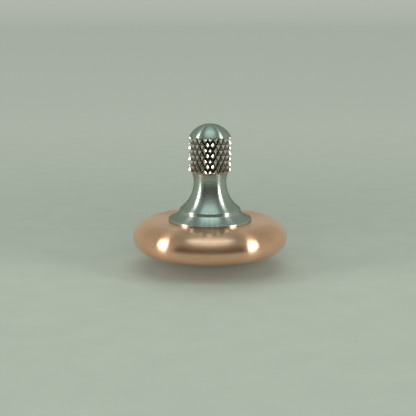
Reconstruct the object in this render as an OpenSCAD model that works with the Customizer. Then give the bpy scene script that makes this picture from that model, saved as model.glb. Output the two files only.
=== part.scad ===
// Turned finger top: a copper flywheel clamped on a steel stem, which turns on a small ball.
// Millimetres, +Z up the spin axis, origin where the ball touches the table.

/* [Flywheel] */
// Diameter of the copper disc
disc_d = 30; // [26:1:34]
// Thickness of the copper disc
disc_t = 5.8; // [5.4:0.1:7]
// Height of the disc's underside above the table
disc_lift = 3.4; // [3.2:0.1:4.5]
// Radius of the round lower edge of the rim
rim_low_r = 2.4; // [2:0.05:3]
// Distance from the rim at which the top face starts to fall
rim_ease = 4; // [3:0.1:4.8]

/* [Grip] */
// Diameter over the crests of the knurl
grip_d = 8.4; // [8:0.1:9.5]
// Length of the knurled band
grip_l = 6.7; // [5:0.1:9]
// Height of the rounded end above the knurl
dome_h = 2.6; // [1.5:0.1:3]

/* [Stem] */
// Diameter of the neck at its narrowest
neck_d = 6.3; // [5.6:0.1:6.8]
// Height of the narrowest part of the neck above the flywheel
neck_z = 7.6; // [7:0.1:8.2]
// Diameter of the step in the bell-shaped foot
step_d = 11.9; // [11:0.1:12.5]
// Diameter of the flange on the flywheel
flange_d = 16.1; // [14:0.1:17]
// Thickness of the flange at its edge
flange_t = 0.4; // [0.3:0.05:0.6]

/* [Tip] */
// Diameter of the ball
ball_d = 3; // [2.5:0.5:3]
// Radial clearance of the ball in its cup
ball_clearance = 0.04; // [0.02:0.01:0.08]
// Diameter of the screw that clamps the flywheel
screw_d = 4; // [3:0.5:4]
// Distance across the two spanner flats of the tip carrier
flats_w = 5; // [4.6:0.1:5.6]

/* [Hidden] */

$fn = 128;
eps = 0.01;
// How far outlines that meet run into each other
overlap = 0.05;
// Radial gap where the screw and the spigot are put in by hand
slip = 0.02;

// Flywheel, and the clamping web inside its bore
disc_r = disc_d / 2;
disc_top = disc_lift + disc_t;
rim_z = disc_lift + rim_low_r;
recess_depth = 1;
web_low = disc_lift + recess_depth;
web_high = web_low + 1.2;
spigot_seat_r = 4;
recess_r = 3.6;
web_hole_r = screw_d / 2 + 0.2;

// Foot of the stem
flange_r = flange_d / 2;
flange_top = disc_top + flange_t;
foot_arc_r = 6;
step_r = step_d / 2;
step_bottom = disc_top + 1.7;
lip_r = 0.42;
lip_x = step_r - lip_r;
lip_z = disc_top + 2.05;
// How deep the neck's arc cuts into the lip, so that the two cross cleanly
lip_bite = 0.002;

// Neck, grip and rounded end
neck_r = neck_d / 2;
neck_mid = disc_top + neck_z;
collar_r = 3.6;
grip_r = grip_d / 2;
grip_bottom = disc_top + 9.5;
grip_top = grip_bottom + grip_l;
grip_chamfer = 0.25;
dome_base_r = grip_r - 0.1;
stem_top = grip_top + dome_h;

// Screw and its hole in the stem
screw_r = screw_d / 2;
screw_end = disc_top + 2;
screw_chamfer = 0.4;
spigot_end = web_high + 0.2;
hole_end = screw_end + 0.8;
hole_cone = 1;

// Tip carrier and ball
ball_r = ball_d / 2;
cup_r = ball_r + ball_clearance;
nose_r = cup_r + 0.4;
nose_z = 0.6 * ball_r;
head_z = disc_lift - 0.3;
shoulder_r = 3.2;
flats_z = disc_lift - 1.4;
relief_r = 0.8;
relief_end = ball_r + 2.4;

// Radius of an arc that leaves a straight wall at a tangent and moves out by dr over a run of dz
// to touch a corner round of radius corner
function blend_radius(dr, dz, corner = 0) =
    (dr * dr + dz * dz - corner * corner) / (2 * (dr + corner));

// Centre of the arc of radius r that passes through a and b and bulges to their right
function arc_centre(a, b, r) =
    let (chord = norm(b - a), across = [a.y - b.y, b.x - a.x] / chord)
    (a + b) / 2 + across * sqrt(r * r - chord * chord / 4);

// Outline of the disc: a round lower edge, and a long elliptical ease above the widest line
module disc_outline() {
    translate([0, disc_lift]) square([disc_r - rim_ease, disc_t]);
    translate([0, disc_lift]) square([disc_r - rim_low_r, rim_low_r]);
    intersection() {
        translate([disc_r - rim_low_r, rim_z]) circle(r = rim_low_r);
        translate([0, disc_lift]) square([disc_r, rim_low_r]);
    }
    intersection() {
        translate([disc_r - rim_ease, rim_z]) scale([rim_ease, disc_top - rim_z]) circle(r = 1);
        translate([0, rim_z]) square([disc_r, disc_top - rim_z]);
    }
}

// Outline of the foot: the flange and the hollow slope up to the step
module foot_outline() {
    difference() {
        translate([0, disc_top]) square([flange_r, step_bottom - disc_top + overlap]);
        translate(arc_centre([step_r, step_bottom], [flange_r, flange_top], foot_arc_r))
            circle(r = foot_arc_r);
    }
}

// Outline of the step, its round lip, and the neck, which is narrowest at neck_mid
module neck_outline() {
    low_arc = blend_radius(lip_x - neck_r, neck_mid - lip_z, lip_r - lip_bite);
    high_arc = blend_radius(collar_r - neck_r, grip_bottom - neck_mid);
    low_centre = [neck_r + low_arc, neck_mid];
    lip_centre = [lip_x, lip_z];
    touch = lip_centre + lip_r * (low_centre - lip_centre) / norm(low_centre - lip_centre);

    translate([0, disc_top]) square([step_r, lip_z - disc_top]);
    translate(lip_centre) circle(r = lip_r);
    difference() {
        translate([0, disc_top]) square([touch.x, grip_bottom - disc_top + overlap]);
        translate([neck_r + high_arc, neck_mid]) circle(r = high_arc);
        intersection() {
            translate(low_centre) circle(r = low_arc);
            square([disc_r, neck_mid]);
        }
    }
}

// Outline of the grip, a plain band as wide as the knurl's crests, and of the rounded end
module grip_outline() {
    polygon([
        [0, grip_bottom], [collar_r, grip_bottom], [grip_r, grip_bottom + grip_chamfer],
        [grip_r, grip_top - (grip_r - dome_base_r)],
        [dome_base_r - overlap, grip_top + overlap], [0, grip_top + overlap]
    ]);
    dome_arc = (dome_base_r * dome_base_r + dome_h * dome_h) / (2 * dome_h);
    intersection() {
        translate([0, stem_top - dome_arc]) circle(r = dome_arc);
        translate([0, grip_top - overlap]) square([grip_r, dome_h + overlap]);
    }
}

// Outline of the spigot in the flywheel's bore
module spigot_outline() {
    translate([0, spigot_end]) square([spigot_seat_r - slip, disc_top - spigot_end]);
}

// The screw's hole, drilled up from the spigot
module stem_hole() {
    translate([0, 0, spigot_end - eps]) cylinder(r = screw_r, h = hole_end - spigot_end + eps);
    translate([0, 0, hole_end]) cylinder(r1 = screw_r, r2 = 0, h = hole_cone);
}

module flywheel() {
    color("#bf8b6b")
    difference() {
        rotate_extrude() disc_outline();
        translate([0, 0, web_high]) cylinder(r = spigot_seat_r, h = disc_top);
        translate([0, 0, disc_lift]) cylinder(r = web_hole_r, h = disc_t);
        translate([0, 0, disc_lift - eps]) cylinder(r = recess_r, h = recess_depth + eps);
    }
}

module stem() {
    color("#8b9a93")
    difference() {
        rotate_extrude() {
            spigot_outline();
            foot_outline();
            neck_outline();
            grip_outline();
        }
        stem_hole();
    }
}

// Screw with a conical head that clamps the flywheel from below and holds the ball
module tip_carrier() {
    color("#9aa39e")
    difference() {
        rotate_extrude()
            polygon([
                [0, nose_z], [nose_r, nose_z], [shoulder_r, head_z], [recess_r - slip, head_z],
                [recess_r - slip, web_low], [screw_r - slip, web_low],
                [screw_r - slip, screw_end - screw_chamfer],
                [screw_r - slip - screw_chamfer, screw_end], [0, screw_end]
            ]);
        translate([0, 0, ball_r]) sphere(r = cup_r);
        translate([0, 0, ball_r]) cylinder(r = relief_r, h = relief_end - ball_r);
        for (side = [-1, 1])
            translate([side * (flats_w + disc_r) / 2, 0, (flats_z + head_z) / 2])
                cube([disc_r, disc_r, head_z - flats_z], center = true);
    }
}

module tip_ball() {
    color("#c9ccca")
    translate([0, 0, ball_r]) sphere(r = ball_r);
}

flywheel();
stem();
tip_carrier();
tip_ball();
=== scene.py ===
"""The spinning top's looks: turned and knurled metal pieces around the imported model, in a small studio."""

import math

import bmesh
import bpy
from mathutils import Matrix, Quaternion, Vector


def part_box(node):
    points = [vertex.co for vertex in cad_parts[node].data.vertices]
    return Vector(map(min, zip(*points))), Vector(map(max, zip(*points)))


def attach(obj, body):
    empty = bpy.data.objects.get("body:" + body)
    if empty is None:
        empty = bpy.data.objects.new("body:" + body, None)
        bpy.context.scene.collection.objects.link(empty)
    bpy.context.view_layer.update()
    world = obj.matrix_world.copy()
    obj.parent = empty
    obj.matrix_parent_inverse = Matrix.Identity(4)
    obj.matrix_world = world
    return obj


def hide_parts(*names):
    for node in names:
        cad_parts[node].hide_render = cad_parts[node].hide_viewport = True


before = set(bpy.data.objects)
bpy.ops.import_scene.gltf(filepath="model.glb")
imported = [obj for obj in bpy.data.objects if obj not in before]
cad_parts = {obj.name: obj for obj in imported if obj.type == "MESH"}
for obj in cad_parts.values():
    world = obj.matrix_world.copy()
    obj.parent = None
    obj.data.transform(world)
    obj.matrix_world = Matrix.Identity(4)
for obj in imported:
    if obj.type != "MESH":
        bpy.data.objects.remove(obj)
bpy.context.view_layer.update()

# Outlines are in millimetres. Meshes, lights and the camera are in metres.
MM = 0.001


def extent(node):
    """Largest radius, lowest point and highest point of a CAD node, in millimetres."""
    low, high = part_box(node)
    return high.x / MM, low.z / MM, high.z / MM


DISC_R, DISC_LOW, DISC_TOP = extent("flywheel")
FLANGE_R, SPIGOT_END, STEM_TOP = extent("stem")
HEAD_R, NOSE_Z, SCREW_END = extent("tip_carrier")
BALL_R = extent("tip_ball")[0]

# Radial gap round the spigot and the screw
SLIP = 0.02

# Flywheel: rim, bore and clamping web
RIM_LOW_R = 2.4
RIM_EASE = 4.0
SEAT_R = 4.0
RECESS_R = 3.6
RECESS_DEPTH = 1.0
WEB_T = 1.2
WEB_LOW = DISC_LOW + RECESS_DEPTH
WEB_HIGH = WEB_LOW + WEB_T
WEB_HOLE_R = 2.2

# Stem: spigot, screw hole, foot, lip, neck, grip and dome
SPIGOT_R = SEAT_R - SLIP
HOLE_R = 2.0
HOLE_END = DISC_TOP + 2.8
HOLE_CONE = 1.0
FLANGE_TOP = DISC_TOP + 0.4
FOOT_ARC_R = 6.0
STEP_R = 5.95
STEP_LOW = DISC_TOP + 1.7
LIP_R = 0.42
LIP_Z = DISC_TOP + 2.05
NECK_R = 3.15
NECK_Z = DISC_TOP + 7.6
COLLAR_R = 3.6
GRIP_R = 4.2
GRIP_LOW = DISC_TOP + 9.5
GRIP_CHAMFER = 0.25
DOME_BASE_R = 4.1
DOME_H = 2.6
GRIP_HIGH = STEM_TOP - DOME_H

# Knurl: two families of crossing grooves that lean 30 degrees either way. TEETH go round the grip, and a
# lozenge is KNURL_PITCH high. A pit lies at height KNURL_PIT_Z and KNURL_START degrees from the -Y side.
TEETH = 22
KNURL_ROOT_R = 3.7
KNURL_PITCH = 2.09
KNURL_START = 0.5
KNURL_PIT_Z = 22.15
# Share of a crest that is flat
KNURL_FLAT = 0.04
# The grooves run out over this height above the grip, and the close rows begin this far below it
KNURL_RUNOUT = 0.3
KNURL_MARGIN = 0.1
PIT_DEPTH = GRIP_R - KNURL_ROOT_R
# Mesh columns to a tooth, and mesh rows to a lozenge's height
CELLS = 16
# The knurled metal stops this far below the grip's top, and lies outside this radius
KNURLED_END = 0.05
KNURLED_FROM_R = 3.5

# Tip carrier
SCREW_R = HOLE_R - SLIP
SCREW_CHAMFER = 0.4
CUP_R = BALL_R + 0.04
NOSE_R = CUP_R + 0.4
HEAD_LOW = DISC_LOW - 0.3
SHOULDER_R = 3.2
FLATS_LOW = DISC_LOW - 1.4
FLATS_HALF = 2.5
RELIEF_R = 0.8
RELIEF_END = BALL_R + 2.4
# Half the height of the step where the flats begin, and where they stop
FLATS_STEP = 0.002
FLATS_TOP = HEAD_LOW + 0.001
FLATS_END_R = SHOULDER_R + 0.01
# Radius of the flat that spinning has worn on the ball
WORN_FLAT_R = 0.12

# Meshes: corners that turn by more than SOFTENED are rounded off, in CORNER_STEPS, and use up at most
# CORNER_REACH of the lines beside them. Shading breaks at edges over SHARP.
SOFTENED = math.radians(25)
CORNER_REACH = 0.4
CORNER_STEPS = 4
SHARP = math.radians(31)
# Radii below this are points on the axis, and this is the distance given where there is no corner
ON_AXIS = 1e-6
NO_CORNER = 99.0
# How far wear reaches from a corner
WEAR_WIDTH = 0.12

# Metals: turning lines by the millimetre, and blotches and specks by the metre. Each window is the part of a
# value's range that shows, and the shares are how strongly it does. WORN_LEAST is the wear left at a speck.
LINE_SCALE = 2.6
FINE_LINE_SCALE = 11.0
BLOTCH_SCALE = 260.0
SPECK_SCALE = 2340.0
TARNISH_WINDOW, TARNISH_SHARE = (0.42, 0.75), 0.55
LINE_WINDOW, LINE_SHARE = (0.35, 0.75), 0.28
# The pit window and share set the painted shade in the knurl's pits
PIT_SHADE_WINDOW, PIT_SHADE_SHARE = (0.55, 0.9), 0.95
WORN_WINDOW, WORN_LEAST = (0.3, 0.6), 0.35
GLOSS_WINDOW, GLOSS_BLOTCHES, GLOSS_LINES = (0.3, 0.7), 0.6, 0.4
# Tone of the painted shade in the knurl's pits, beside the dull tone, and height of the fine lines, beside
# the coarse ones
PIT_SHADE_TONE = 0.3
FINE_LINE_HEIGHT = 0.35
# A quarter turn, so that reflections stretch across the turning lines
STRETCH_TURN = 0.25

# Floor: a painted shade lies behind the top, from SHADE_START to SHADE_END along Y, and the tone changes to
# the far one, a darker and greyer painted shade, over FAR_TONE_RANGE from the middle. Lengths are in metres.
FLOOR_TONE = (0.43, 0.468, 0.42)
FLOOR_DIM = 0.82
FAR_TONE = (0.41, 0.425, 0.40)
MOTTLE_SCALE = 160.0
MOTTLE_WINDOW = (0.35, 0.65)
MOTTLE_SHARE = 0.25
SHADE_START = (-0.01, 0.03)
SHADE_END = (0.06, 0.2)
SHADE_TO_MOTTLE = 3.0
FAR_TONE_RANGE = (0.05, 0.4)
NEAR_FLOOR_R = 0.085
MIDDLE_FLOOR_R = (0.3, 0.7)
FAR_FLOOR_R = 1.2
COVE_R = 0.5
COVE_STEPS = 10
WALL_TOP = 1.3
SHEET_COLUMNS = 96

# Room: (share of the way from straight down to straight up, brightness, tint)
WALL_TINT = (0.92, 1.0, 0.84)
SKY_TINT = (0.79, 1.0, 0.96)
DARK_TINT = (1.0, 0.95, 0.80)
WALLS = [(0.0, 0.44, WALL_TINT), (0.60, 0.46, WALL_TINT), (0.80, 0.38, WALL_TINT), (1.0, 0.30, SKY_TINT)]
DARK_SIDE = [(0.0, 0.04, DARK_TINT), (0.50, 0.04, DARK_TINT), (0.68, 0.07, DARK_TINT),
             (0.86, 0.26, DARK_TINT), (1.0, 0.40, SKY_TINT)]
# Cosines, in plan, of the angles from the -Y side between which the dark side begins
DARK_SIDE_EDGE = (0.45, 0.68)
# The ceiling is a disc of light, 15 degrees in radius, that fades out by 27
CEILING = 1.25
CEILING_TILT = math.radians(80)
CEILING_EDGE = (math.cos(math.radians(27)), math.cos(math.radians(15)))

# Lamps: their colour, and their distance from the point that they aim at, in metres
LAMP_COLOUR = (1.0, 0.98, 0.93)
LAMP_DISTANCE = 3.0
LAMP_AIM = Vector((0, 0, 0.012))

# Camera, in degrees and metres
CAMERA_ELEVATION = 12.0
CAMERA_DISTANCE = 0.2037
CAMERA_CLIP = (0.005, 10.0)
FIELD_OF_VIEW = 22.47
SENSOR_WIDTH = 36.0
AIM = Vector((-0.00039, 0.0, 0.01148))


# ---------------------------------------------------------------- outlines


def arc(centre, radii, start, end, steps):
    """Points (r, z) on an ellipse's arc from angle start to angle end, in degrees from the +r direction."""
    angles = [math.radians(start + (end - start) * i / steps) for i in range(steps + 1)]
    return [(centre[0] + radii[0] * math.cos(a), centre[1] + radii[1] * math.sin(a)) for a in angles]


def angle_from(centre, point):
    """Angle of point as seen from centre, in degrees from the +r direction."""
    return math.degrees(math.atan2(point[1] - centre[1], point[0] - centre[0]))


def arc_centre(a, b, radius):
    """Centre of the arc of that radius through a and b, on the left of the way from a to b."""
    chord = math.dist(a, b)
    reach = math.sqrt(radius * radius - chord * chord / 4)
    return (
        (a[0] + b[0]) / 2 - (b[1] - a[1]) / chord * reach,
        (a[1] + b[1]) / 2 + (b[0] - a[0]) / chord * reach,
    )


def blend_radius(dr, dz, corner=0.0):
    """Radius of an arc that leaves a wall at a tangent and moves out by dr over dz, to touch a corner round.

    corner is the round's radius.
    """
    return (dr * dr + dz * dz - corner * corner) / (2 * (dr + corner))


def soften(points, radius, closed, keep):
    """The outline with its corners cut by small rounds, and which points lie on them.

    keep is a z range left sharp.
    """
    softened, on_corner = [], []
    for i, point in enumerate(points):
        here, before, after = Vector(point), Vector(points[i - 1]), Vector(points[(i + 1) % len(points)])
        inward, outward = here - before, after - here
        at_end = not closed and i in (0, len(points) - 1)
        turn = 0 if at_end else inward.angle(outward)
        if turn < SOFTENED or keep[0] < point[1] < keep[1]:
            softened.append(point)
            on_corner.append(False)
            continue
        shorter = min(inward.length, outward.length)
        reach = min(radius * math.tan(turn / 2), CORNER_REACH * shorter)
        first, last = here - inward.normalized() * reach, here + outward.normalized() * reach
        for step in range(CORNER_STEPS + 1):
            t = step / CORNER_STEPS
            softened.append(tuple(first * (1 - t) ** 2 + here * 2 * t * (1 - t) + last * t * t))
            on_corner.append(True)
    return softened, on_corner


def refine(points, on_corner, longest, closed):
    """The outline with its long edges cut up, each point's run along it, and its distance from a corner."""
    fine, marks = [], []
    for i in range(len(points) if closed else len(points) - 1):
        a, b = Vector(points[i]), Vector(points[(i + 1) % len(points)])
        parts = max(1, math.ceil((b - a).length / longest))
        fine += [tuple(a.lerp(b, k / parts)) for k in range(parts)]
        marks += [on_corner[i]] + [False] * (parts - 1)
    if not closed:
        fine.append(points[-1])
        marks.append(False)
    run = [0.0]
    for a, b in zip(fine, fine[1:]):
        run.append(run[-1] + math.dist(a, b))
    corners = [r for r, marked in zip(run, marks) if marked]
    return fine, run, [min([abs(r - c) for c in corners], default=NO_CORNER) for r in run]


def flywheel_outline():
    """The disc's closed outline, from the bore's mouth out over the rim and back inside the bore."""
    rim_z = DISC_LOW + RIM_LOW_R
    return (
        [(SEAT_R, DISC_TOP)]
        + arc((DISC_R - RIM_EASE, rim_z), (RIM_EASE, DISC_TOP - rim_z), 90, 0, steps=44)
        + arc((DISC_R - RIM_LOW_R, rim_z), (RIM_LOW_R, RIM_LOW_R), 0, -90, steps=30)[1:]
        + [(RECESS_R, DISC_LOW), (RECESS_R, WEB_LOW), (WEB_HOLE_R, WEB_LOW), (WEB_HOLE_R, WEB_HIGH)]
        + [(SEAT_R, WEB_HIGH)]
    )


def dome_circle():
    """Centre and radius of the rounded end's circle."""
    radius = (DOME_BASE_R ** 2 + DOME_H ** 2) / (2 * DOME_H)
    return (0.0, STEM_TOP - radius), radius


def knurl_span():
    """The z range that is built in rows which the knurl's crests and pits fall on."""
    return GRIP_LOW - KNURL_MARGIN, GRIP_HIGH + KNURL_RUNOUT


def grip_radius(z):
    """The stem's radius beside the knurl, before the grooves are cut.

    It goes through the collar, a chamfer, the band, a chamfer and the dome.
    """
    centre, radius = dome_circle()
    corners = [
        (COLLAR_R, GRIP_LOW),
        (GRIP_R, GRIP_LOW + GRIP_CHAMFER),
        (GRIP_R, GRIP_HIGH - (GRIP_R - DOME_BASE_R)),
        (DOME_BASE_R, GRIP_HIGH),
    ]
    if z >= GRIP_HIGH:
        return math.sqrt(radius ** 2 - (z - centre[1]) ** 2)
    for a, b in zip(corners, corners[1:]):
        if a[1] <= z <= b[1]:
            return a[0] + (b[0] - a[0]) * (z - a[1]) / (b[1] - a[1])
    return COLLAR_R


def stem_outline():
    """The stem's outline from the tip of its screw hole, round the spigot and up to the top of the dome."""
    foot_centre = arc_centre((STEP_R, STEP_LOW), (FLANGE_R, FLANGE_TOP), FOOT_ARC_R)
    foot_start = angle_from(foot_centre, (FLANGE_R, FLANGE_TOP))
    foot_end = angle_from(foot_centre, (STEP_R, STEP_LOW))
    low_arc = blend_radius(STEP_R - LIP_R - NECK_R, NECK_Z - LIP_Z, LIP_R)
    high_arc = blend_radius(COLLAR_R - NECK_R, GRIP_LOW - NECK_Z)
    low_centre, high_centre = (NECK_R + low_arc, NECK_Z), (NECK_R + high_arc, NECK_Z)
    lip_centre = (STEP_R - LIP_R, LIP_Z)
    touch = angle_from(lip_centre, low_centre)
    low, high = knurl_span()
    high_end = 180 - math.degrees(math.asin((low - NECK_Z) / high_arc))
    step = KNURL_PITCH / CELLS
    first = math.ceil((low - KNURL_PIT_Z) / step)
    rows = [KNURL_PIT_Z + step * k for k in range(first, math.floor((high - KNURL_PIT_Z) / step) + 1)]
    dome_centre, dome_r = dome_circle()
    dome_start = math.degrees(math.asin((high + step - dome_centre[1]) / dome_r))

    def row_radius(z):
        """The neck's upper arc below the grip, and the grip above."""
        if z >= GRIP_LOW:
            return grip_radius(z)
        return high_centre[0] - math.sqrt(high_arc ** 2 - (z - NECK_Z) ** 2)

    return (
        [(0.0, HOLE_END + HOLE_CONE), (HOLE_R, HOLE_END), (HOLE_R, SPIGOT_END), (SPIGOT_R, SPIGOT_END)]
        + [(SPIGOT_R, DISC_TOP), (FLANGE_R, DISC_TOP)]
        + arc(foot_centre, (FOOT_ARC_R, FOOT_ARC_R), foot_start, foot_end, steps=14)
        + arc(lip_centre, (LIP_R, LIP_R), 0, touch, steps=6)
        + arc(low_centre, (low_arc, low_arc), touch + 180, 180, steps=40)[1:]
        + arc(high_centre, (high_arc, high_arc), 180, high_end, steps=14)[1:-1]
        + [(row_radius(z), z) for z in rows]
        + arc(dome_centre, (dome_r, dome_r), dome_start, 90, steps=30)
    )


def carrier_outline():
    """The carrier's outline from its relief hole, round the cup, nose and head, to the screw's end."""
    cup_centre = (0.0, BALL_R)
    relief_start = BALL_R + math.sqrt(CUP_R ** 2 - RELIEF_R ** 2)
    mouth_r = math.sqrt(CUP_R ** 2 - (BALL_R - NOSE_Z) ** 2)
    cup = (angle_from(cup_centre, (RELIEF_R, relief_start)), angle_from(cup_centre, (mouth_r, NOSE_Z)))
    cone_r = NOSE_R + (SHOULDER_R - NOSE_R) * (FLATS_LOW - NOSE_Z) / (HEAD_LOW - NOSE_Z)
    return (
        [(0.0, RELIEF_END), (RELIEF_R, RELIEF_END)]
        + arc(cup_centre, (CUP_R, CUP_R), *cup, steps=20)
        + [(NOSE_R, NOSE_Z), (cone_r, FLATS_LOW - FLATS_STEP), (cone_r, FLATS_LOW + FLATS_STEP)]
        + [(SHOULDER_R, HEAD_LOW), (HEAD_R, HEAD_LOW), (HEAD_R, WEB_LOW), (SCREW_R, WEB_LOW)]
        + [(SCREW_R, SCREW_END - SCREW_CHAMFER), (SCREW_R - SCREW_CHAMFER, SCREW_END), (0.0, SCREW_END)]
    )


def ball_outline():
    """The ball's outline from its lowest point up, with the tiny flat that spinning has worn on it."""
    start = -math.degrees(math.acos(WORN_FLAT_R / BALL_R))
    lowest = BALL_R * (1 + math.sin(math.radians(start)))
    return [(0.0, lowest)] + arc((0.0, BALL_R), (BALL_R, BALL_R), start, 90, steps=56)


# ---------------------------------------------------------------- meshes


def knurl_radius(r, z, turn):
    """The grip's radius at a share of a turn from the first pit: r, or the grooves' floor if it is lower."""
    low, high = knurl_span()
    if not low < z < high:
        return r
    around, climb = turn * TEETH, (z - KNURL_PIT_Z) / KNURL_PITCH
    sides = [2 * abs((side + 0.5) % 1.0 - 0.5) for side in (around + climb, around - climb)]
    height = min(1.0, min(sides) / (1 - KNURL_FLAT))
    runout = max(0.0, (z - GRIP_HIGH) / KNURL_RUNOUT)
    floor = KNURL_ROOT_R + PIT_DEPTH * max(height, runout)
    return min(r, floor)


def flats_radius(r, z, turn):
    """The carrier's radius with its two spanner flats cut."""
    if not (FLATS_LOW < z <= FLATS_TOP and r < FLATS_END_R):
        return r
    across = abs(math.cos(2 * math.pi * turn))
    return r if r * across < FLATS_HALF else FLATS_HALF / across


def lathe(name, outline, columns, longest, closed=False, edge=0.05, start=0.0, cut=None, keep=(0, 0)):
    """Turns an outline of (r, z) points round the axis into a closed mesh object.

    edge is the round that breaks its corners, longest the longest line along the outline, and start the first
    column's angle in degrees. cut(r, z, turn) is a radius that varies round the axis, and keep a z range with
    sharp corners, whose faces are split along the creases of the cut.
    The mesh carries three values on its points: run, which is the way along the outline in millimetres, wear,
    which is 1 at a corner, and pit, which is the depth under the outline as a share of the knurl's depth.
    """
    softened, on_corner = soften(outline, edge, closed, keep)
    fine, run, to_corner = refine(softened, on_corner, longest, closed)
    verts, rings, runs, wear, pits = [], [], [], [], []
    for (r, z), distance, gap in zip(fine, run, to_corner):
        count = 1 if r < ON_AXIS else columns
        rings.append(range(len(verts), len(verts) + count))
        for j in range(count):
            angle = math.radians(start) + 2 * math.pi * j / columns
            radius = cut(r, z, j / columns) if cut and r > ON_AXIS else r
            verts.append((radius * math.cos(angle), radius * math.sin(angle), z))
            pits.append(min(1.0, (r - radius) / PIT_DEPTH))
        runs += [distance] * count
        wear += [math.exp(-gap / WEAR_WIDTH)] * count
    faces = []
    for i, low in enumerate(rings):
        if not closed and i == len(rings) - 1:
            break
        high = rings[(i + 1) % len(rings)]
        creased = cut and keep[0] < fine[i][1] < keep[1]
        for j in range(columns):
            k = (j + 1) % columns
            if len(low) == 1:
                faces.append((low[0], high[j], high[k]))
            elif len(high) == 1:
                faces.append((low[j], low[k], high[0]))
            elif creased:
                faces += crease_split(low, high, j, k, columns, fine[i], fine[i + 1], cut)
            else:
                faces.append((low[j], low[k], high[k], high[j]))
    return mesh_object(name, verts, faces, {"run": runs, "wear": wear, "pit": pits})


def crease_split(low, high, j, k, columns, a, b, cut):
    """Two triangles for a cell of a cut surface, split along the diagonal that lies nearer to the surface."""
    middle = cut((a[0] + b[0]) / 2, (a[1] + b[1]) / 2, (j + 0.5) / columns)
    rising = (cut(*a, j / columns) + cut(*b, (j + 1) / columns)) / 2
    falling = (cut(*a, (j + 1) / columns) + cut(*b, j / columns)) / 2
    if abs(rising - middle) < abs(falling - middle):
        return [(low[j], low[k], high[k]), (low[j], high[k], high[j])]
    return [(low[j], low[k], high[j]), (low[k], high[k], high[j])]


def mesh_object(name, verts, faces, values):
    """A closed smooth mesh in metres with outward normals, with the named values on its points."""
    mesh = bpy.data.meshes.new(name)
    mesh.from_pydata([(x * MM, y * MM, z * MM) for x, y, z in verts], [], faces)
    shape = bmesh.new()
    shape.from_mesh(mesh)
    bmesh.ops.recalc_face_normals(shape, faces=shape.faces)
    shape.to_mesh(mesh)
    shape.free()
    for label, numbers in values.items():
        mesh.attributes.new(label, "FLOAT", "POINT").data.foreach_set("value", numbers)
    mesh.shade_smooth()
    mesh.set_sharp_from_angle(angle=SHARP)
    made = bpy.data.objects.new(name, mesh)
    bpy.context.scene.collection.objects.link(made)
    return made


# ---------------------------------------------------------------- materials


def add(tree, kind, inputs=None, **settings):
    """A new shader node with its settings. inputs, by name or number, are values or other nodes' sockets."""
    made = tree.nodes.new(kind)
    for name, value in settings.items():
        setattr(made, name, value)
    for key, value in (inputs or {}).items():
        if isinstance(value, bpy.types.NodeSocket):
            tree.links.new(value, made.inputs[key])
        else:
            made.inputs[key].default_value = value
    return made


def math_node(tree, operation, a, b=0.0):
    """The result of a Math node on a and b."""
    return add(tree, "ShaderNodeMath", {0: a, 1: b}, operation=operation).outputs[0]


def blend(tree, share, a, b):
    """Colour a turning into colour b as share goes from 0 to 1."""
    mix = add(tree, "ShaderNodeMix", data_type="RGBA")
    for key, value in (("Factor_Float", share), ("A_Color", a), ("B_Color", b)):
        socket = next(s for s in mix.inputs if s.identifier == key)
        if isinstance(value, bpy.types.NodeSocket):
            tree.links.new(value, socket)
        else:
            socket.default_value = value
    return next(s for s in mix.outputs if s.identifier == "Result_Color")


def remap(tree, value, low, high, to_low=0.0, to_high=1.0, **settings):
    """value, stretched from low..high to to_low..to_high and held inside it."""
    inputs = {0: value, 1: low, 2: high, 3: to_low, 4: to_high}
    return add(tree, "ShaderNodeMapRange", inputs, **settings).outputs[0]


def noise(tree, scale, detail, rough=0.5, vector=None, w=None):
    """Grain from 0 to 1, at a place in space or, where there is no vector, along w alone."""
    inputs = {"Scale": scale, "Detail": detail, "Roughness": rough}
    if vector is None:
        return add(tree, "ShaderNodeTexNoise", {"W": w, **inputs}, noise_dimensions="1D").outputs[0]
    return add(tree, "ShaderNodeTexNoise", {"Vector": vector, **inputs}).outputs[0]


def attribute(tree, name):
    """A value that the mesh carries on its points."""
    return add(tree, "ShaderNodeAttribute", attribute_name=name).outputs["Fac"]


def new_material(name):
    """A material with an empty Principled shader: returns it, its tree and the shader."""
    made = bpy.data.materials.new(name)
    made.use_nodes = True
    tree = made.node_tree
    tree.nodes.clear()
    shader = add(tree, "ShaderNodeBsdfPrincipled")
    add(tree, "ShaderNodeOutputMaterial", {"Surface": shader.outputs[0]})
    return made, tree, shader


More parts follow.
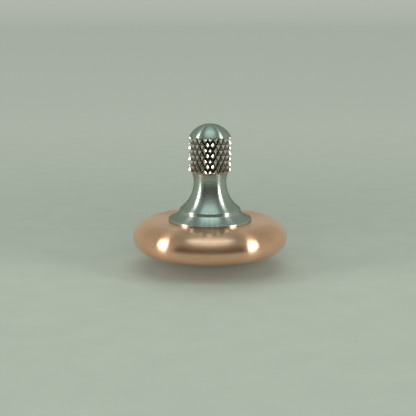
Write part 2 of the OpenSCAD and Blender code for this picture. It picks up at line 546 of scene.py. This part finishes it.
def metal(name, colour, dull, bright, roughness, anisotropy, line_depth, grazing=(1, 1, 1)):
    """Bare metal. Turning lines run round the axis, blotches vary its tone, and worn corners are brighter.

    colour, dull and bright are its usual, oxidised and worn tones, roughness its lowest and highest, and
    line_depth the height of its turning lines in millimetres. grazing tints what it mirrors at a low angle.
    The knurl's pits are darkened with painted shade.
    """
    made, tree, shader = new_material(name)
    run, worn = attribute(tree, "run"), attribute(tree, "wear")
    place = add(tree, "ShaderNodeTexCoord").outputs["Object"]
    lines = noise(tree, w=run, scale=LINE_SCALE, detail=3.0, rough=0.65)
    fine_lines = noise(tree, w=run, scale=FINE_LINE_SCALE, detail=2.0, rough=0.6)
    blotches = noise(tree, vector=place, scale=BLOTCH_SCALE, detail=4.0, rough=0.6)
    specks = noise(tree, vector=place, scale=SPECK_SCALE, detail=2.0)

    tarnish = math_node(tree, "MULTIPLY", remap(tree, blotches, *TARNISH_WINDOW), TARNISH_SHARE)
    banded = math_node(tree, "ADD", tarnish, remap(tree, lines, *LINE_WINDOW, 0.0, LINE_SHARE))
    toned = blend(tree, banded, (*colour, 1), (*dull, 1))
    # Painted shade: the deeper a point lies in a knurl pit, the darker its colour
    pit_shade = remap(tree, attribute(tree, "pit"), *PIT_SHADE_WINDOW, 0.0, PIT_SHADE_SHARE)
    pit_shaded = blend(tree, pit_shade, toned, (*[c * PIT_SHADE_TONE for c in dull], 1))
    edge = math_node(tree, "MULTIPLY", worn, remap(tree, specks, *WORN_WINDOW, WORN_LEAST, 1.0))
    tree.links.new(blend(tree, edge, pit_shaded, (*bright, 1)), shader.inputs["Base Color"])

    gloss = math_node(tree, "ADD", math_node(tree, "MULTIPLY", blotches, GLOSS_BLOTCHES),
                      math_node(tree, "MULTIPLY", lines, GLOSS_LINES))
    tree.links.new(remap(tree, gloss, *GLOSS_WINDOW, *roughness), shader.inputs["Roughness"])
    height = math_node(tree, "ADD", lines, math_node(tree, "MULTIPLY", fine_lines, FINE_LINE_HEIGHT))
    bump = add(tree, "ShaderNodeBump", {"Height": height, "Strength": 1.0, "Distance": line_depth * MM})
    tree.links.new(bump.outputs[0], shader.inputs["Normal"])

    shader.inputs["Metallic"].default_value = 1.0
    shader.inputs["Specular Tint"].default_value = (*grazing, 1)
    shader.inputs["Anisotropic"].default_value = anisotropy
    shader.inputs["Anisotropic Rotation"].default_value = STRETCH_TURN
    tangent = add(tree, "ShaderNodeTangent", direction_type="RADIAL", axis="Z")
    tree.links.new(tangent.outputs[0], shader.inputs["Tangent"])
    return made


# ---------------------------------------------------------------- pieces


def finish_piece(piece, body, node, slot, *materials):
    """Gives a piece its materials and its body, and hides the CAD node that it stands for. slot is not used.
    """
    for material in materials:
        piece.data.materials.append(material)
    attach(piece, body)
    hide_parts(node)


def mark_knurled(piece):
    """Faces of the knurled band take the piece's second material."""
    low, high = GRIP_LOW * MM, (GRIP_HIGH - KNURLED_END) * MM
    for face in piece.data.polygons:
        outside = math.hypot(face.center.x, face.center.y) > KNURLED_FROM_R * MM
        if outside and low < face.center.z < high:
            face.material_index = 1


def build_top():
    """The four pieces of the top and their metals."""
    copper = metal("turned_copper", (1.0, 0.605, 0.42), (0.90, 0.47, 0.30), (0.98, 0.72, 0.56),
                   roughness=(0.19, 0.26), anisotropy=1.0, line_depth=0.0008)
    steel = metal("turned_steel", (0.54, 0.61, 0.565), (0.40, 0.46, 0.43), (0.74, 0.76, 0.71),
                  roughness=(0.23, 0.30), anisotropy=0.95, line_depth=0.0003, grazing=(0.45, 0.52, 0.48))
    # The knurled band is the stem's steel, given a lighter and warmer tone as painted highlight
    knurled = metal("knurled_steel_painted_bright", (0.92, 0.87, 0.83), (0.68, 0.63, 0.59), (0.96, 0.93, 0.90),
                    roughness=(0.07, 0.12), anisotropy=0.0, line_depth=0.0)
    tip_steel = metal("tip_steel", (0.55, 0.59, 0.57), (0.38, 0.41, 0.40), (0.72, 0.75, 0.74),
                      roughness=(0.22, 0.32), anisotropy=0.6, line_depth=0.0008)
    polished = metal("polished_ball_steel", (0.72, 0.74, 0.74), (0.60, 0.62, 0.62), (0.8, 0.81, 0.81),
                     roughness=(0.05, 0.10), anisotropy=0.0, line_depth=0.0)

    flywheel = lathe("flywheel_disc", flywheel_outline(), columns=288, closed=True, edge=0.06, longest=0.5)
    finish_piece(flywheel, "top", "flywheel", "copper", copper)

    stem = lathe("stem_turned", stem_outline(), columns=TEETH * CELLS, longest=0.7,
                 start=KNURL_START - 90, cut=knurl_radius, keep=knurl_span())
    finish_piece(stem, "top", "stem", "steel", steel, knurled)
    mark_knurled(stem)

    carrier = lathe("tip_carrier_screw", carrier_outline(), columns=192, longest=0.4, cut=flats_radius)
    finish_piece(carrier, "top", "tip_carrier", "tip_steel", tip_steel)

    ball = lathe("tip_ball_polished", ball_outline(), columns=128, edge=0.01, longest=0.2)
    finish_piece(ball, "tip", "tip_ball", "ball", polished)


# ---------------------------------------------------------------- studio


def stage_material():
    """Plain pale paper with a faint mottle, and painted shade: a little darker behind the top, darker and
    greyer far from it.
    """
    made, tree, shader = new_material("studio_paper")
    place = add(tree, "ShaderNodeTexCoord").outputs["Object"]
    mottle = noise(tree, vector=place, scale=MOTTLE_SCALE, detail=5.0, rough=0.6)
    away = add(tree, "ShaderNodeVectorMath", {0: place}, operation="LENGTH").outputs["Value"]
    behind = add(tree, "ShaderNodeSeparateXYZ", {0: place}).outputs["Y"]
    # Painted shade: a darker band on the floor behind the top
    shade = math_node(tree, "MULTIPLY", remap(tree, behind, *SHADE_START),
                      remap(tree, behind, *SHADE_END, 1.0, 0.0))
    shaded = math_node(tree, "ADD", math_node(tree, "MULTIPLY", shade, SHADE_TO_MOTTLE),
                       remap(tree, mottle, *MOTTLE_WINDOW))
    toned = blend(tree, math_node(tree, "MULTIPLY", shaded, MOTTLE_SHARE), (*FLOOR_TONE, 1),
                  (*[c * FLOOR_DIM for c in FLOOR_TONE], 1))
    # Painted shade: the floor turns to the darker, greyer far tone away from the top
    paper = blend(tree, remap(tree, away, *FAR_TONE_RANGE), toned, (*FAR_TONE, 1))
    tree.links.new(paper, shader.inputs["Base Color"])
    shader.inputs["Roughness"].default_value = 0.9
    shader.inputs["Specular IOR Level"].default_value = 0.1
    return made


def turned_sheet(name, outline, material):
    """An open surface of revolution for the stage, from (r, z) points in metres."""
    verts, rings, faces = [], [], []
    for r, z in outline:
        count = 1 if r == 0 else SHEET_COLUMNS
        rings.append(range(len(verts), len(verts) + count))
        for j in range(count):
            angle = 2 * math.pi * j / SHEET_COLUMNS
            verts.append((r * math.cos(angle), r * math.sin(angle), z))
    for low, high in zip(rings, rings[1:]):
        for j in range(SHEET_COLUMNS):
            k = (j + 1) % SHEET_COLUMNS
            inner = (low[0],) if len(low) == 1 else (low[k], low[j])
            faces.append((*inner, high[j], high[k]))
    mesh = bpy.data.meshes.new(name)
    mesh.from_pydata(verts, [], faces)
    mesh.shade_smooth()
    mesh.materials.append(material)
    made = bpy.data.objects.new(name, mesh)
    bpy.context.scene.collection.objects.link(made)
    return made


def build_stage():
    """A floor round the top, and an outer floor that curves up into a wall.

    The camera sees both. The outer one throws no shadow, and bounced light and mirrored rays pass through it.
    """
    paper = stage_material()
    turned_sheet("near_floor", [(0, 0), (NEAR_FLOOR_R * 0.5, 0), (NEAR_FLOOR_R, 0)], paper)
    angles = [math.radians(90 * i / COVE_STEPS) for i in range(COVE_STEPS + 1)]
    far = turned_sheet(
        "far_floor",
        [(NEAR_FLOOR_R, 0)] + [(r, 0) for r in MIDDLE_FLOOR_R]
        + [(FAR_FLOOR_R + COVE_R * math.sin(a), COVE_R * (1 - math.cos(a))) for a in angles]
        + [(FAR_FLOOR_R + COVE_R, WALL_TOP)],
        paper,
    )
    far.visible_diffuse = False
    far.visible_glossy = False
    far.visible_shadow = False
    far.visible_transmission = False


def tinted(brightness, tint):
    """An opaque colour of that brightness and tint."""
    return (*[brightness * share for share in tint], 1)


def ramp(tree, value, stops):
    """A colour ramp of (position, brightness, tint) stops."""
    made = add(tree, "ShaderNodeValToRGB", {0: value})
    made.color_ramp.interpolation = "EASE"
    elements = made.color_ramp.elements
    while len(elements) < len(stops):
        elements.new(0.5)
    for element, (position, brightness, tint) in zip(elements, stops):
        element.position = position
        element.color = tinted(brightness, tint)
    return made.outputs[0]


def build_room():
    """The room as light: a ceiling, pale walls behind and beside, and a dark side behind the camera."""
    world = bpy.data.worlds.new("studio_room")
    world.use_nodes = True
    bpy.context.scene.world = world
    tree = world.node_tree
    tree.nodes.clear()
    place = add(tree, "ShaderNodeTexCoord").outputs["Generated"]
    x, y, z = add(tree, "ShaderNodeSeparateXYZ", {0: place}).outputs
    squares = math_node(tree, "ADD", math_node(tree, "MULTIPLY", x, x), math_node(tree, "MULTIPLY", y, y))
    level = math_node(tree, "MAXIMUM", math_node(tree, "SQRT", squares), 0.01)
    ahead = math_node(tree, "DIVIDE", math_node(tree, "MULTIPLY", y, -1.0), level)
    height = remap(tree, z, -1.0, 1.0)
    in_front = remap(tree, ahead, *DARK_SIDE_EDGE, interpolation_type="SMOOTHSTEP")
    walled = blend(tree, in_front, ramp(tree, height, WALLS), ramp(tree, height, DARK_SIDE))
    toward = Vector((0.0, -math.cos(CEILING_TILT), math.sin(CEILING_TILT)))
    facing = add(tree, "ShaderNodeVectorMath", {0: place, 1: toward}, operation="DOT_PRODUCT")
    ceiling = remap(tree, facing.outputs["Value"], *CEILING_EDGE, interpolation_type="SMOOTHSTEP")
    room = blend(tree, ceiling, walled, tinted(CEILING, SKY_TINT))
    background = add(tree, "ShaderNodeBackground", {"Color": room, "Strength": 1.0})
    add(tree, "ShaderNodeOutputWorld", {"Surface": background.outputs[0]})


def soft_light(name, azimuth, elevation, lean, width, height, radiance, mirrored=True):
    """A soft oval light aimed at the top. Azimuth 0 is the -Y side, and 90 is the +X side.

    width and height are angles in degrees as seen from the top, and lean turns the light about its own beam.
    mirrored says whether the metals show it.
    """
    a, e = math.radians(azimuth), math.radians(elevation)
    place = Vector((math.sin(a) * math.cos(e), -math.cos(a) * math.cos(e), math.sin(e))) * LAMP_DISTANCE
    data = bpy.data.lights.new(name, "AREA")
    data.shape = "ELLIPSE"
    data.size = 2 * LAMP_DISTANCE * math.tan(math.radians(width / 2))
    data.size_y = 2 * LAMP_DISTANCE * math.tan(math.radians(height / 2))
    # Power is pi times radiance times area, and an oval's area is pi / 4 of the rectangle round it
    data.energy = radiance * math.pi ** 2 / 4 * data.size * data.size_y
    data.color = LAMP_COLOUR
    made = bpy.data.objects.new(name, data)
    made.location = place + LAMP_AIM
    made.rotation_mode = "QUATERNION"
    made.rotation_quaternion = place.to_track_quat("Z", "Y") @ Quaternion((0, 0, 1), math.radians(lean))
    made.visible_camera = False
    made.visible_glossy = mirrored
    bpy.context.scene.collection.objects.link(made)


def build_lights():
    """A tall lamp on each side, which the metals mirror, and two wide ones, which only light the scene."""
    for name, azimuth, lean in (("left_softbox", -79, 22), ("right_softbox", 70, -22)):
        soft_light(name, azimuth, elevation=24, lean=lean, width=16, height=50, radiance=4.8)
    soft_light("front_fill", azimuth=0, elevation=11, lean=0, width=84, height=22, radiance=8.6,
               mirrored=False)
    soft_light("back_fill", azimuth=180, elevation=50, lean=0, width=60, height=30, radiance=1.6,
               mirrored=False)


def build_camera():
    """The camera in front of the top, a little above it."""
    data = bpy.data.cameras.new("camera")
    data.sensor_width = SENSOR_WIDTH
    data.lens = SENSOR_WIDTH / 2 / math.tan(math.radians(FIELD_OF_VIEW / 2))
    data.clip_start, data.clip_end = CAMERA_CLIP
    made = bpy.data.objects.new("camera", data)
    e = math.radians(CAMERA_ELEVATION)
    back = Vector((0.0, -math.cos(e), math.sin(e)))
    made.location = AIM + back * CAMERA_DISTANCE
    made.rotation_mode = "QUATERNION"
    made.rotation_quaternion = (-back).to_track_quat("-Z", "Y")
    bpy.context.scene.collection.objects.link(made)
    bpy.context.scene.camera = made


build_camera()
build_top()
build_stage()
build_room()
build_lights()
bpy.context.scene.view_settings.view_transform = "Standard"
